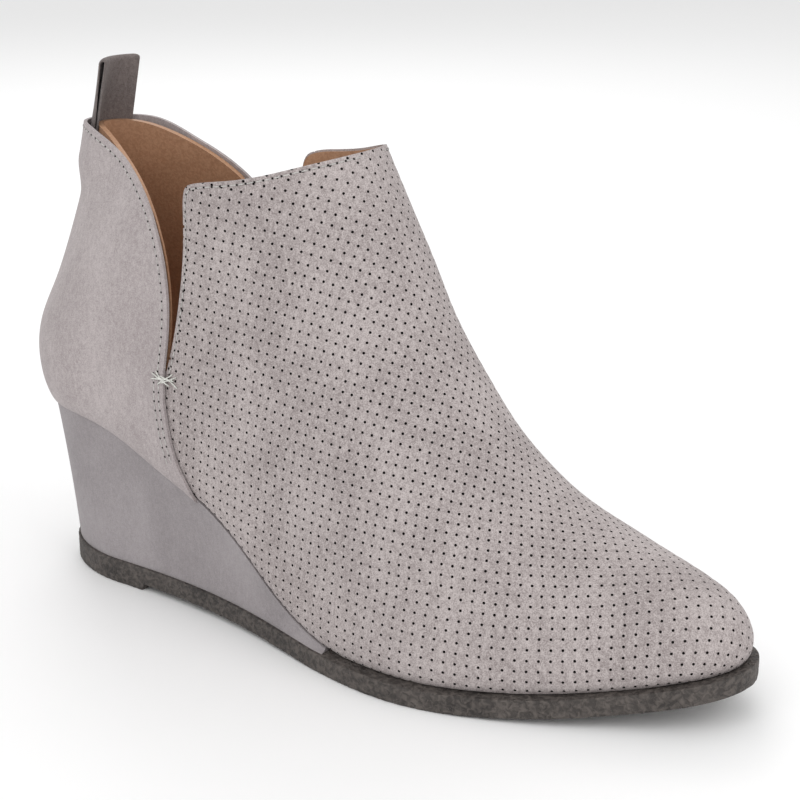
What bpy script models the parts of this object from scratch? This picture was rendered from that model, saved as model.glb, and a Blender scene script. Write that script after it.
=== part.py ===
"""Ankle boot on a low wedge, for the right foot.

X runs to the toe, +Y to the inner side of the foot and Z up. The floor is at z = 0.
Every outline is worked out from the sizes below and from short tables, whose lengths are
shares of those sizes. The upper, the quarter that laps over it, the insole and the top of
the wedge all come from one function, the surface of the last.
"""
import math

import bmesh
import bpy
import numpy as np

# Sole, in metres
SOLE_LENGTH = 0.2430
BALL_WIDTH = 0.0850
HEEL_WIDTH = 0.0550
OUTSOLE_THICKNESS = 0.0060
HEEL_PAD_THICKNESS = 0.0020
HEEL_PAD_LENGTH = 0.0440
HEEL_PAD_STEP = 0.0012
ARCH_LIFT = 0.0007
FOREFOOT_FLAT_START = 0.50 * SOLE_LENGTH
FOREFOOT_FLAT_END = 0.66 * SOLE_LENGTH
TOE_SPRING = 0.0118
OUTSOLE_EDGE = 0.0007

# Last: heights are measured from the floor
HEEL_HEIGHT = 0.0556
COLLAR_HEIGHT = 0.1458
INSTEP_HEIGHT = 0.1454
TOE_OVERHANG = 0.0012
FEATHER_TUCK = 0.0024
FEATHER_TUCK_RISE = 0.0095

# Materials' thicknesses and clearances
UPPER_WALL = 0.0018
SUEDE = 0.0011
SEAT_GAP = 0.0003
INSOLE_THICKNESS = 0.0025
WEDGE_EDGE = 0.0009
WEDGE_INSET = 0.0010
WEDGE_FLARE = 0.0008
WEDGE_HOLLOW = 0.0006
WEDGE_ROUND = 0.0165
LINING_STEP = 0.0006
NOTCH_WIDTH = 0.0010

# Pull loop
LOOP_WIDTH = 0.0158
LOOP_STRIP = 0.0011
LOOP_FOLD = 0.0185
LOOP_LEG = 0.0110
LOOP_SLOT = 0.0003
LOOP_GAPE = 0.0009
LOOP_LEAN = 0.0066
LOOP_RISES = (0.15, 0.35, 0.60, 0.80)
LOOP_BUMP_BESIDE = 0.0077
LOOP_BUMP_BELOW = 0.0127

# Mesh steps
AROUND = 30
LEVELS = 23
LEVELS_CLOSER_LOW = 1.6
QUARTER_COLUMNS = 18

# Plan of the outsole. along: share of SOLE_LENGTH; of_heel and of_ball: shares of HEEL_WIDTH and
# BALL_WIDTH that add up to the half width; swing: share of BALL_WIDTH, inwards
SOLE_PLAN = (
    (0.00, 0.500, 0.000, 0.000),
    (0.11, 0.487, 0.000, 0.000),
    (0.24, 0.490, 0.000, -0.015),
    (0.40, 0.300, 0.170, -0.045),
    (0.52, 0.080, 0.390, -0.058),
    (0.64, 0.000, 0.500, -0.038),
    (0.74, 0.000, 0.478, 0.004),
    (0.84, 0.000, 0.387, 0.028),
    (0.93, 0.000, 0.264, 0.018),
    (1.00, 0.000, 0.230, 0.005),
)
HEEL_ROUND = 0.034
HEEL_ROUNDNESS = 1.9
TOE_ROUND = 0.0235

# Plan of the last where it is widest. Columns as above, without the swing
LAST_PLAN = (
    (-0.04, 0.520, 0.000),
    (0.11, 0.520, 0.000),
    (0.24, 0.545, 0.000),
    (0.40, 0.330, 0.170),
    (0.52, 0.080, 0.375),
    (0.64, 0.000, 0.480),
    (0.74, 0.000, 0.458),
    (0.84, 0.000, 0.368),
    (0.93, 0.000, 0.250),
    (1.00, 0.000, 0.218),
)

# Feather line, where the upper ends. rise: share of the height from the outsole's top to
# HEEL_HEIGHT
FEATHER = (
    (-0.024, 1.000),
    (0.030, 1.020),
    (0.088, 1.016),
    (0.129, 0.977),
    (0.165, 0.920),
    (0.231, 0.786),
    (0.300, 0.654),
    (0.371, 0.450),
    (0.439, 0.194),
    (0.490, 0.070),
    (0.550, 0.000),
    (0.620, 0.000),
)

# Front line from the top of the vamp to the toe, at the middle of the last.
# height: share of INSTEP_HEIGHT; roundness: 2 is an ellipse, less is leaner, more is fuller
FRONT_LINE = (
    (0.485, 1.000, 1.50),
    (0.512, 0.914, 1.45),
    (0.541, 0.825, 1.40),
    (0.564, 0.750, 1.38),
    (0.591, 0.675, 1.38),
    (0.620, 0.602, 1.40),
    (0.650, 0.526, 1.45),
    (0.689, 0.447, 1.55),
    (0.735, 0.377, 1.65),
    (0.765, 0.346, 1.75),
    (0.801, 0.319, 1.85),
    (0.840, 0.295, 1.95),
    (0.886, 0.275, 2.05),
    (0.928, 0.256, 2.15),
    (0.959, 0.235, 2.20),
    (0.976, 0.212, 2.20),
    (0.989, 0.179, 2.20),
    (0.995, 0.150, 2.20),
)
# Behind the first row the line rises at this slope, and bends up by this much per SOLE_LENGTH
FRONT_LINE_SLOPE = 1.85
FRONT_LINE_BEND = 7.53

# Back line. up: share of the height from HEEL_HEIGHT to COLLAR_HEIGHT; back: share of
# SOLE_LENGTH; reach: length of the round of the heel as a share of SOLE_LENGTH; roundness as
# above; width: factor on the width of the last, behind and in front of the notch
BACK_LINE = (
    (-0.02, -0.016, 0.125, 2.00, 1.000, 1.000),
    (0.06, -0.029, 0.130, 2.00, 1.010, 1.000),
    (0.18, -0.040, 0.140, 1.95, 1.015, 1.005),
    (0.30, -0.033, 0.150, 1.90, 1.010, 1.010),
    (0.42, -0.013, 0.165, 1.80, 0.990, 1.020),
    (0.55, 0.006, 0.180, 1.65, 0.965, 1.040),
    (0.70, 0.024, 0.205, 1.50, 0.920, 1.090),
    (0.85, 0.040, 0.230, 1.35, 0.860, 1.150),
    (1.00, 0.052, 0.250, 1.25, 0.820, 1.200),
    (1.20, 0.058, 0.250, 1.25, 0.800, 1.240),
)
NOTCH_ALONG = 0.268
NOTCH_BLEND = 0.050
SHELL_TOP = 0.1600
OVER_SHELL = 0.0146

# Edge of the quarter from the back of the collar to the bottom of the notch, and the seam from
# there to the feather line, seen from the side. along: share of SOLE_LENGTH; height: share of
# COLLAR_HEIGHT
QUARTER_EDGE = (
    (-0.080, 1.000),
    (0.045, 1.000),
    (0.080, 0.998),
    (0.136, 0.966),
    (0.194, 0.904),
    (0.236, 0.820),
    (0.256, 0.7235),
    (0.260, 0.630),
    (0.254, 0.5345),
)
SIDE_SEAM = (
    (0.254, 0.4725),
    (0.260, 0.4115),
    (0.2725, 0.3465),
    (0.295, 0.2805),
    (0.306, 0.197),
)

# Edge of the vamp from the bottom of the notch to the middle of its top. height: share of the
# height from there to INSTEP_HEIGHT
VAMP_EDGE = (
    (0.254, 0.000),
    (0.270, 0.168),
    (0.281, 0.366),
    (0.288, 0.556),
    (0.291, 0.733),
    (0.2925, 0.823),
    (0.297, 0.862),
    (0.307, 0.877),
    (0.345, 0.903),
    (0.390, 0.935),
    (0.430, 0.976),
    (0.480, 1.026),
    (0.560, 1.116),
)


def spline(rows, column=1):
    """Natural cubic curve through one column of a table, against its first column."""
    xs = np.array([row[0] for row in rows])
    ys = np.array([row[column] for row in rows])
    steps = np.diff(xs)
    slopes = np.diff(ys) / steps
    system = np.eye(len(xs))
    right = np.zeros(len(xs))
    for i in range(1, len(xs) - 1):
        system[i, i - 1:i + 2] = (steps[i - 1], 2 * (steps[i - 1] + steps[i]), steps[i])
        right[i] = 6 * (slopes[i] - slopes[i - 1])
    bends = np.linalg.solve(system, right)

    def curve(at):
        at = np.clip(at, xs[0], xs[-1])
        i = np.clip(np.searchsorted(xs, at) - 1, 0, len(steps) - 1)
        left = at - xs[i]
        rest = xs[i + 1] - at
        cubic = (bends[i] * rest ** 3 + bends[i + 1] * left ** 3) / (6 * steps[i])
        ends = (ys[i] / steps[i] - bends[i] * steps[i] / 6) * rest
        return cubic + ends + (ys[i + 1] / steps[i] - bends[i + 1] * steps[i] / 6) * left

    return curve


def round_off(distance, reach, roundness=2.0):
    """Factor that rounds an end: 0 at the end, 1 past the reach."""
    rest = np.clip(1 - distance / reach, 0, 1)
    return np.sqrt(np.clip(1 - rest ** roundness, 0, 1))


def ease(at, start, end):
    """0 before the start, 1 after the end, smooth between."""
    share = np.clip((at - start) / (end - start), 0, 1)
    return share * share * (3 - 2 * share)


def solve(function, low, high):
    """Root of a function that is below 0 at low and above 0 at high, by halving."""
    for _ in range(48):
        middle = (low + high) / 2
        if function(middle) < 0:
            low = middle
        else:
            high = middle
    return (low + high) / 2


sole_of_heel = spline(SOLE_PLAN, 1)
sole_of_ball = spline(SOLE_PLAN, 2)
sole_swing = spline(SOLE_PLAN, 3)
last_of_heel = spline(LAST_PLAN, 1)
last_of_ball = spline(LAST_PLAN, 2)
feather_rise = spline(FEATHER)
front_height = spline(FRONT_LINE, 1)
front_roundness = spline(FRONT_LINE, 2)
back_place = spline(BACK_LINE, 1)
back_reach = spline(BACK_LINE, 2)
back_roundness = spline(BACK_LINE, 3)
width_behind = spline(BACK_LINE, 4)
width_before = spline(BACK_LINE, 5)


def centre(x):
    """Middle line of the sole, which bends inwards at the toe."""
    return BALL_WIDTH * sole_swing(x / SOLE_LENGTH)


def sole_half_width(x):
    share = x / SOLE_LENGTH
    half = HEEL_WIDTH * sole_of_heel(share) + BALL_WIDTH * sole_of_ball(share)
    heel = round_off(x, HEEL_ROUND, HEEL_ROUNDNESS)
    return half * heel * round_off(SOLE_LENGTH - x, TOE_ROUND)


def sheet_bottom(x):
    """Underside of the outsole's sheet, without the heel pad."""
    share = np.clip((x - HEEL_PAD_LENGTH) / (FOREFOOT_FLAT_START - HEEL_PAD_LENGTH), 0, 1)
    waist = HEEL_PAD_THICKNESS * (1 - share) + ARCH_LIFT * np.sin(math.pi * share)
    spring = np.clip((x - FOREFOOT_FLAT_END) / (SOLE_LENGTH - FOREFOOT_FLAT_END), 0, 1)
    return waist + TOE_SPRING * spring ** 2


def outsole_bottom(x):
    step = np.clip((x - HEEL_PAD_LENGTH) / HEEL_PAD_STEP, 0, 1)
    return sheet_bottom(x) * step


def outsole_top(x):
    return sheet_bottom(x) + OUTSOLE_THICKNESS


def feather(x):
    """Height of the line where the upper ends, on the wedge and then on the outsole."""
    seat = outsole_top(x) + SEAT_GAP
    heel_rise = HEEL_HEIGHT - HEEL_PAD_THICKNESS - OUTSOLE_THICKNESS - SEAT_GAP
    return seat + heel_rise * np.clip(feather_rise(x / SOLE_LENGTH), 0, None)


def front_line(x):
    """Height of the last along its middle. Behind the vamp's top it goes on upwards."""
    behind = np.clip(FRONT_LINE[0][0] * SOLE_LENGTH - x, 0, None)
    rise = FRONT_LINE_SLOPE * behind + FRONT_LINE_BEND * behind ** 2 / SOLE_LENGTH
    return INSTEP_HEIGHT * front_height(x / SOLE_LENGTH) + rise


def up_the_back(z):
    return (z - HEEL_HEIGHT) / (COLLAR_HEIGHT - HEEL_HEIGHT)


def back_line(z):
    return SOLE_LENGTH * back_place(up_the_back(z))


def tuck(x, z):
    """How far the last's side is drawn in just above the feather line."""
    rest = np.clip(1 - (z - feather(x)) / FEATHER_TUCK_RISE, 0, 1)
    return FEATHER_TUCK * (1 - np.sqrt(np.clip(1 - rest ** 2, 0, 1)))


def toe_tip(x, z):
    return SOLE_LENGTH - TOE_OVERHANG - tuck(x, z)


def last_half_width(x, z):
    """Half width of the last at one place along it and one height."""
    share = x / SOLE_LENGTH
    up = up_the_back(z)
    behind = 1 - ease(share, NOTCH_ALONG - NOTCH_BLEND, NOTCH_ALONG + NOTCH_BLEND)
    shaft = width_behind(up) * behind + width_before(up) * (1 - behind)
    half = HEEL_WIDTH * last_of_heel(share) + BALL_WIDTH * last_of_ball(share)
    height = np.clip((z - feather(x)) / (front_line(x) - feather(x)), 0, 1)
    over = np.sqrt(np.clip(1 - height ** front_roundness(share), 0, 1))
    heel = round_off(x - back_line(z), SOLE_LENGTH * back_reach(up), back_roundness(up))
    toe = round_off(toe_tip(x, z) - x, TOE_ROUND)
    return (half * shaft - tuck(x, z)) * over * heel * toe


def last_centre(x, z):
    """Middle line of the last, which runs straight at the top of the shaft."""
    return centre(x) * (1 - ease(up_the_back(z), 0.0, 0.8))


def level_height(x, level):
    """Level 0 is the feather line and level 1 is flat, at the top of the shell."""
    return feather(x) * (1 - level) + SHELL_TOP * level


def level_ends(level):
    """Where a level's line meets the back line, and the front line or the toe's tip."""
    def past_back(x):
        return x - back_line(level_height(x, level))

    def past_front(x):
        z = level_height(x, level)
        return max(z - front_line(x), x - toe_tip(x, z))

    back = solve(past_back, -0.1 * SOLE_LENGTH, 0.2 * SOLE_LENGTH)
    return back, solve(past_front, 0.3 * SOLE_LENGTH, SOLE_LENGTH)


def last_surface():
    """Rows of points from the feather line up. Each row goes round the last from the heel."""
    rows = []
    for row in range(LEVELS + 1):
        level = (row / LEVELS) ** LEVELS_CLOSER_LOW
        back, front = level_ends(level)
        turn = np.linspace(0, math.pi, AROUND + 1)
        x = back + (front - back) * (1 - np.cos(turn)) / 2
        z = level_height(x, level)
        half = last_half_width(x, z)
        half[0] = 0
        half[-1] = 0
        outer = np.stack([x, last_centre(x, z) - half, z], 1)
        inner = np.stack([x, last_centre(x, z) + half, z], 1)
        rows.append(np.concatenate([outer, inner[-2:0:-1]]))
    return np.array(rows)


def normals_of(rows):
    """Unit normals of a closed surface given as rows of points that go round it."""
    along = np.roll(rows, -1, 1) - np.roll(rows, 1, 1)
    up = np.gradient(rows, axis=0)
    normals = np.cross(along, up)
    return normals / np.linalg.norm(normals, axis=2, keepdims=True)


def smooth_path(rows, steps):
    """Evenly spaced points on a smooth curve through a table's points."""
    points = np.array(rows)
    strides = np.linalg.norm(np.diff(points, axis=0), axis=1)
    distance = np.concatenate([[0], np.cumsum(strides)])
    at = np.linspace(0, distance[-1], steps + 1)
    columns = [spline(list(zip(distance, points[:, i])))(at) for i in (0, 1)]
    return np.stack(columns, 1)


def add_material(thing, colour, roughness):
    material = bpy.data.materials.new(thing.name)
    material.use_nodes = True
    shader = material.node_tree.nodes["Principled BSDF"]
    shader.inputs["Base Color"].default_value = (*colour, 1)
    shader.inputs["Roughness"].default_value = roughness
    shader.inputs["Metallic"].default_value = 0
    thing.data.materials.append(material)


def add_object(name, bm):
    bmesh.ops.recalc_face_normals(bm, faces=bm.faces)
    mesh = bpy.data.meshes.new(name)
    bm.to_mesh(mesh)
    bm.free()
    mesh.shade_smooth()
    mesh.set_sharp_from_angle(angle=math.radians(35))
    thing = bpy.data.objects.new(name, mesh)
    bpy.context.scene.collection.objects.link(thing)
    return thing


def tube(name, sections, ring=False):
    """Closed solid through sections of equal count. Each section is a closed loop of points.

    A ring joins its last section to the first. Otherwise the ends are capped, each by a strip
    from the first half of the loop to the second, or closed where the points meet.
    """
    sections = np.array(sections)
    if ring:
        sections = np.concatenate([sections, sections[:1]])
    loops = np.concatenate([sections, sections[:, :1]], 1)
    count, size = loops.shape[:2]
    bm = bmesh.new()
    bmesh.ops.create_grid(bm, x_segments=size - 1, y_segments=count - 1, size=1)
    bm.verts.ensure_lookup_table()
    for vertex, point in zip(bm.verts, loops.reshape(-1, 3)):
        vertex.co = point
    if not ring:
        half = (size - 1) // 2
        for start in (0, (count - 1) * size):
            for i in range(half - 1):
                far = size - 2 - i
                corners = (i, i + 1, far - 1, far)
                bm.faces.new([bm.verts[start + corner] for corner in corners])
    bmesh.ops.remove_doubles(bm, verts=bm.verts, dist=1e-6)
    bmesh.ops.dissolve_degenerate(bm, edges=bm.edges, dist=1e-7)
    return add_object(name, bm)


def side_cutter(name, outline):
    """Prism right across the boot whose outline is given as seen from the side."""
    reach = BALL_WIDTH
    bm = bmesh.new()
    face = bm.faces.new([bm.verts.new((x, -reach, z)) for x, z in outline])
    region = bmesh.ops.extrude_face_region(bm, geom=[face])
    moved = [item for item in region["geom"] if isinstance(item, bmesh.types.BMVert)]
    bmesh.ops.translate(bm, verts=moved, vec=(0, 2 * reach, 0))
    cutter = add_object(name, bm)
    cutter.hide_render = True
    cutter.display_type = "WIRE"
    return cutter


def cut(thing, cutter, operation):
    modifier = thing.modifiers.new(cutter.name, "BOOLEAN")
    modifier.operation = operation
    modifier.solver = "EXACT"
    modifier.object = cutter


def in_place(rows, height):
    """A side table's rows as real places: shares of SOLE_LENGTH and of the named height."""
    return [(row[0] * SOLE_LENGTH, row[1] * height) for row in rows]


def quarter_edge():
    return smooth_path(in_place(QUARTER_EDGE, COLLAR_HEIGHT), 40)


def vamp_edge():
    bottom = QUARTER_EDGE[-1][1] * COLLAR_HEIGHT
    rise = INSTEP_HEIGHT - bottom
    return [(along * SOLE_LENGTH + NOTCH_WIDTH / 2, bottom + up * rise) for along, up in VAMP_EDGE]


def make_upper(surface, normals):
    inside = surface - UPPER_WALL * normals
    sections = np.concatenate([surface, inside[::-1]]).transpose(1, 0, 2)
    upper = tube("upper", sections, ring=True)
    behind = quarter_edge() - LINING_STEP
    before = smooth_path(vamp_edge(), 36)
    above = SHELL_TOP + OVER_SHELL
    corners = np.array([(before[-1, 0], above), (behind[0, 0], above)])
    opening = side_cutter("collar_opening", np.concatenate([behind, before, corners]))
    cut(upper, opening, "DIFFERENCE")
    add_material(upper, (0.37, 0.335, 0.315), 0.95)


def leg_space(points):
    """Extra room under the quarter where the pull loop's legs lie."""
    y = np.abs(points[..., 1])
    edge = LOOP_WIDTH / 2 + 2 * LOOP_STRIP
    beside = 1 - ease(y, edge, edge + LOOP_BUMP_BESIDE)
    bottom = COLLAR_HEIGHT - LOOP_LEG - LOOP_STRIP / 2
    above = ease(points[..., 2], bottom - LOOP_BUMP_BELOW, bottom)
    behind = points[..., 0] < 0.2 * SOLE_LENGTH
    return (2 * LOOP_STRIP + LOOP_SLOT + 2 * SEAT_GAP) * beside * above * behind


def make_quarter(surface, normals):
    columns = np.arange(-QUARTER_COLUMNS, QUARTER_COLUMNS + 1)
    under = SEAT_GAP + leg_space(surface)[..., None]
    inside = (surface + under * normals)[:, columns]
    outside = (surface + (under + SUEDE) * normals)[:, columns]
    sections = np.concatenate([outside, inside[::-1]]).transpose(1, 0, 2)
    quarter = tube("quarter", sections)
    edge = quarter_edge()
    seam = smooth_path(in_place(SIDE_SEAM, COLLAR_HEIGHT), 14)
    line = surface[0, :AROUND + 1]
    above = seam[:, 1] - np.interp(seam[:, 0], line[:, 0], line[:, 2])
    crossing = np.argmax(above < 0)
    share = above[crossing - 1] / (above[crossing - 1] - above[crossing])
    seam[crossing] = seam[crossing - 1] + share * (seam[crossing] - seam[crossing - 1])
    seam = seam[:crossing + 1]
    bottom = line[line[:, 0] < seam[-1, 0]][::-1, (0, 2)]
    corner = (edge[0, 0], bottom[-1, 1])
    pattern = side_cutter("quarter_pattern", np.concatenate([edge, seam, bottom, [corner]]))
    cut(quarter, pattern, "INTERSECT")
    add_material(quarter, (0.41, 0.375, 0.355), 0.95)


def outline(surface, distance):
    """The feather line as outer and inner chains from heel to toe, moved outwards in plan."""
    ring = surface[0, :, :2]
    along = np.roll(ring, -1, 0) - np.roll(ring, 1, 0)
    away = np.stack([along[:, 1], -along[:, 0]], 1)
    away /= np.linalg.norm(away, axis=1, keepdims=True)
    moved = ring + distance * away
    outer = moved[:AROUND + 1]
    inner = np.concatenate([moved[:1], moved[:AROUND - 1:-1]])
    return outer, inner


def make_wedge(surface):
    stations = surface[0, :AROUND + 1, 0]
    seat = surface[0, :AROUND + 1, 2] - SEAT_GAP
    room = seat - outsole_top(stations) - SEAT_GAP
    end = np.interp(-WEDGE_EDGE, -room[AROUND // 4:], stations[AROUND // 4:])
    start = WEDGE_INSET
    sections = []
    outer, inner = outline(surface, WEDGE_FLARE)
    last = np.searchsorted(outer[:, 0], end)
    for i in range(last + 1):
        share = min((outer[i, 0] - outer[0, 0]) / (end - outer[0, 0]), 1)
        x = start + (end - start) * share
        half = max(sole_half_width(x) - WEDGE_INSET, 0) if i else 0
        foot = outsole_top(x) + SEAT_GAP
        sides = []
        for side, chain in ((-1, outer), (1, inner)):
            top_x = chain[i, 0] if i < last else end
            top_y = np.interp(top_x, chain[:, 0], chain[:, 1])
            top = np.array([top_x, top_y, np.interp(top_x, stations, seat)])
            low = np.array([x, centre(x) + side * half, foot])
            middle = low + (top - low) * 0.5
            beside = min(1, half / WEDGE_ROUND)
            middle[1] -= side * WEDGE_HOLLOW * beside
            middle[0] += WEDGE_HOLLOW * (1 - beside)
            sides.append([low, middle, top])
        sections.append(sides[0] + sides[1][::-1])
    wedge = tube("wedge", sections)
    add_material(wedge, (0.35, 0.33, 0.33), 0.95)


def make_insole(surface):
    stations = surface[0, :AROUND + 1, 0]
    seat = surface[0, :AROUND + 1, 2]
    outer, inner = outline(surface, -UPPER_WALL - SEAT_GAP)
    sections = []
    for low, high in zip(outer, inner):
        corners = []
        for point, up in ((low, 0), (low, 1), (high, 1), (high, 0)):
            z = np.interp(point[0], stations, seat) + up * INSOLE_THICKNESS
            corners.append((point[0], point[1], z))
        sections.append(corners)
    insole = tube("insole", sections)
    add_material(insole, (0.55, 0.33, 0.20), 0.8)


def make_outsole(surface):
    stations = np.clip(surface[0, :AROUND + 1, 0], 0, None)
    ends = SOLE_LENGTH * (1 - np.cos(np.linspace(0, math.pi, AROUND + 1))) / 2
    marks = (HEEL_PAD_LENGTH, HEEL_PAD_LENGTH + HEEL_PAD_STEP)
    flat = (FOREFOOT_FLAT_START, FOREFOOT_FLAT_END)
    middle = stations[(stations > 0.1 * SOLE_LENGTH) & (stations < 0.9 * SOLE_LENGTH)]
    rounds = ends[(ends <= 0.1 * SOLE_LENGTH) | (ends >= 0.9 * SOLE_LENGTH)]
    sections = []
    for x in sorted([*rounds, *middle, *marks, *flat]):
        half = sole_half_width(x)
        low = outsole_bottom(x)
        high = outsole_top(x)
        inset = min(OUTSOLE_EDGE, half)
        rows = [(half - inset, low), (half, low + OUTSOLE_EDGE)]
        rows += [(half, high - OUTSOLE_EDGE), (half - inset, high)]
        outer = [(x, centre(x) - reach, z) for reach, z in rows]
        inner = [(x, centre(x) + reach, z) for reach, z in rows]
        sections.append(outer + inner[::-1])
    outsole = tube("outsole", sections)
    add_material(outsole, (0.09, 0.08, 0.072), 0.7)


def back_of_last(y, z):
    """Place along X of the back of the last, off its middle, at one height."""
    start = back_line(z)
    middle = last_centre(start, z)
    return solve(lambda x: last_half_width(x, z) - abs(y - middle), start, start + 0.15 * SOLE_LENGTH)


def make_pull_loop():
    """Strip folded over at the top. Its two legs lie between the upper and the quarter."""
    first = SEAT_GAP + LOOP_STRIP / 2
    second = first + LOOP_STRIP + LOOP_SLOT
    path = [(first, -LOOP_LEG), (first, -LOOP_LEG / 2), (first, 0)]
    path += [(first - share * LOOP_GAPE / 2, share * LOOP_FOLD) for share in LOOP_RISES]
    turn = np.linspace(0, math.pi, 7)
    middle = (first + second) / 2
    radius = (second - first + LOOP_GAPE) / 2
    path += [(middle - radius * math.cos(a), LOOP_FOLD + radius * math.sin(a)) for a in turn]
    path += [(second + share * LOOP_GAPE / 2, share * LOOP_FOLD) for share in LOOP_RISES[::-1]]
    path += [(second, 0), (second, -LOOP_LEG / 2), (second, -LOOP_LEG)]
    path = np.array(path)
    along = np.gradient(path, axis=0)
    away = np.stack([-along[:, 1], along[:, 0]], 1)
    away /= np.linalg.norm(away, axis=1, keepdims=True)
    band = np.concatenate([path + away * LOOP_STRIP / 2, (path - away * LOOP_STRIP / 2)[::-1]])
    sections = []
    for y in np.linspace(-LOOP_WIDTH / 2, LOOP_WIDTH / 2, 9):
        loop = []
        for out, up in band:
            z = COLLAR_HEIGHT + up
            share = max(up, 0) / LOOP_FOLD
            seat = back_of_last(y, min(z, COLLAR_HEIGHT))
            flat = back_line(COLLAR_HEIGHT)
            x = seat + (flat - seat) * 0.5 * min(share, 1) + LOOP_LEAN * share - out
            loop.append((x, y, z))
        sections.append(loop)
    pull_loop = tube("pull_loop", sections)
    add_material(pull_loop, (0.24, 0.22, 0.21), 0.95)


def stand_at_origin():
    """Moves every piece so that the middle of the whole, seen from above, is the origin."""
    bpy.context.view_layer.update()
    things = [thing for thing in bpy.data.objects if not thing.hide_render]
    graph = bpy.context.evaluated_depsgraph_get()
    corners = []
    for thing in things:
        mesh = thing.evaluated_get(graph).data
        places = np.empty(len(mesh.vertices) * 3, np.float32)
        mesh.vertices.foreach_get("co", places)
        corners.append(places.reshape(-1, 3))
    corners = np.concatenate(corners)
    middle = (corners.min(0) + corners.max(0)) / 2
    for thing in bpy.data.objects:
        thing.location = (-middle[0], -middle[1], 0)


def main():
    for thing in list(bpy.data.objects):
        bpy.data.objects.remove(thing)
    surface = last_surface()
    normals = normals_of(surface)
    make_outsole(surface)
    make_wedge(surface)
    make_insole(surface)
    make_upper(surface, normals)
    make_quarter(surface, normals)
    make_pull_loop()
    stand_at_origin()


main()
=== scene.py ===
"""Looks of the ankle boot, laid over its CAD frame.

X runs to the toe, -Y is the outer side and Z is up. Every surface comes from the last: its
tables are shares of the sizes below, and `last_point` gives any place on it.
"""
import math

import bmesh
import bpy
import numpy as np
from mathutils import Matrix, Vector, noise
from mathutils.bvhtree import BVHTree


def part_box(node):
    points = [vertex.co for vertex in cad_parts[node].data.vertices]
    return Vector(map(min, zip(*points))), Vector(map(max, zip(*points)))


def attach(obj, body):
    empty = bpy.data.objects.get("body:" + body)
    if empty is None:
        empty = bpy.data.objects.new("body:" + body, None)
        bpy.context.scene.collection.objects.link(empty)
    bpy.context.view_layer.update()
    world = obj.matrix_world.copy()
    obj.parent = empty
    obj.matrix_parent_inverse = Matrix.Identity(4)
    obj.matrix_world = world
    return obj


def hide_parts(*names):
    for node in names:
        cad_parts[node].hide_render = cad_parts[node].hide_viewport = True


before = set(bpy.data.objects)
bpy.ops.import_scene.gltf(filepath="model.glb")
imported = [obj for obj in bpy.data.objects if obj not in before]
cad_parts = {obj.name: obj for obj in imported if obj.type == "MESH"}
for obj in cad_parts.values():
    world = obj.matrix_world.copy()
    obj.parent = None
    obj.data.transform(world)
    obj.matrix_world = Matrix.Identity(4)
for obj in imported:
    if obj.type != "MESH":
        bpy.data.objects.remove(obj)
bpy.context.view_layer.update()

MM = 0.001

# Sizes of the boot, in metres
SOLE_LENGTH = 0.2430
BALL_WIDTH = 0.0850
HEEL_WIDTH = 0.0550
OUTSOLE_THICKNESS = 0.0060
HEEL_PAD_THICKNESS = 0.0020
HEEL_PAD_LENGTH = 0.0440
HEEL_PAD_STEP = 0.0012
ARCH_LIFT = 0.0007
FOREFOOT_FLAT_START = 0.50 * SOLE_LENGTH
FOREFOOT_FLAT_END = 0.66 * SOLE_LENGTH
TOE_SPRING = 0.0118
HEEL_HEIGHT = 0.0556
COLLAR_HEIGHT = 0.1458
INSTEP_HEIGHT = 0.1454
TOE_OVERHANG = 0.0012
FEATHER_TUCK = 0.0024
FEATHER_TUCK_RISE = 0.0095
UPPER_WALL = 0.0018
SUEDE = 0.0011
SEAT_GAP = 0.0003
INSOLE_THICKNESS = 0.0025
WEDGE_EDGE = 0.0009
WEDGE_INSET = 0.0010
WEDGE_FLARE = 0.0008
WEDGE_HOLLOW = 0.0006
WEDGE_ROUND = 0.0165
LOOP_WIDTH = 0.0158
LOOP_STRIP = 0.0011
LOOP_FOLD = 0.0185
LOOP_LEG = 0.0110
LOOP_SLOT = 0.0003
LOOP_GAPE = 0.0009
LOOP_LEAN = 0.0066
SHELL_TOP = 0.1600
NOTCH_WIDTH = 0.0010

# Outsole: along, share of the heel's width, share of the ball's width, swing inwards
SOLE_PLAN = (
    (0.00, 0.500, 0.000, 0.000),
    (0.11, 0.487, 0.000, 0.000),
    (0.24, 0.490, 0.000, -0.015),
    (0.40, 0.300, 0.170, -0.045),
    (0.52, 0.080, 0.390, -0.058),
    (0.64, 0.000, 0.500, -0.038),
    (0.74, 0.000, 0.478, 0.004),
    (0.84, 0.000, 0.387, 0.028),
    (0.93, 0.000, 0.264, 0.018),
    (1.00, 0.000, 0.230, 0.005),
)
HEEL_ROUND = 0.034
HEEL_ROUNDNESS = 1.9
TOE_ROUND = 0.0235

# Last where it is widest: along, share of the heel's width, share of the ball's width
LAST_PLAN = (
    (-0.04, 0.520, 0.000),
    (0.11, 0.520, 0.000),
    (0.24, 0.545, 0.000),
    (0.40, 0.330, 0.170),
    (0.52, 0.080, 0.375),
    (0.64, 0.000, 0.480),
    (0.74, 0.000, 0.458),
    (0.84, 0.000, 0.368),
    (0.93, 0.000, 0.250),
    (1.00, 0.000, 0.218),
)

# Feather line: along, rise as a share of the heel's height
FEATHER = (
    (-0.024, 1.000),
    (0.030, 1.020),
    (0.088, 1.016),
    (0.129, 0.977),
    (0.165, 0.920),
    (0.231, 0.786),
    (0.300, 0.654),
    (0.371, 0.450),
    (0.439, 0.194),
    (0.490, 0.070),
    (0.550, 0.000),
    (0.620, 0.000),
)

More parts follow.
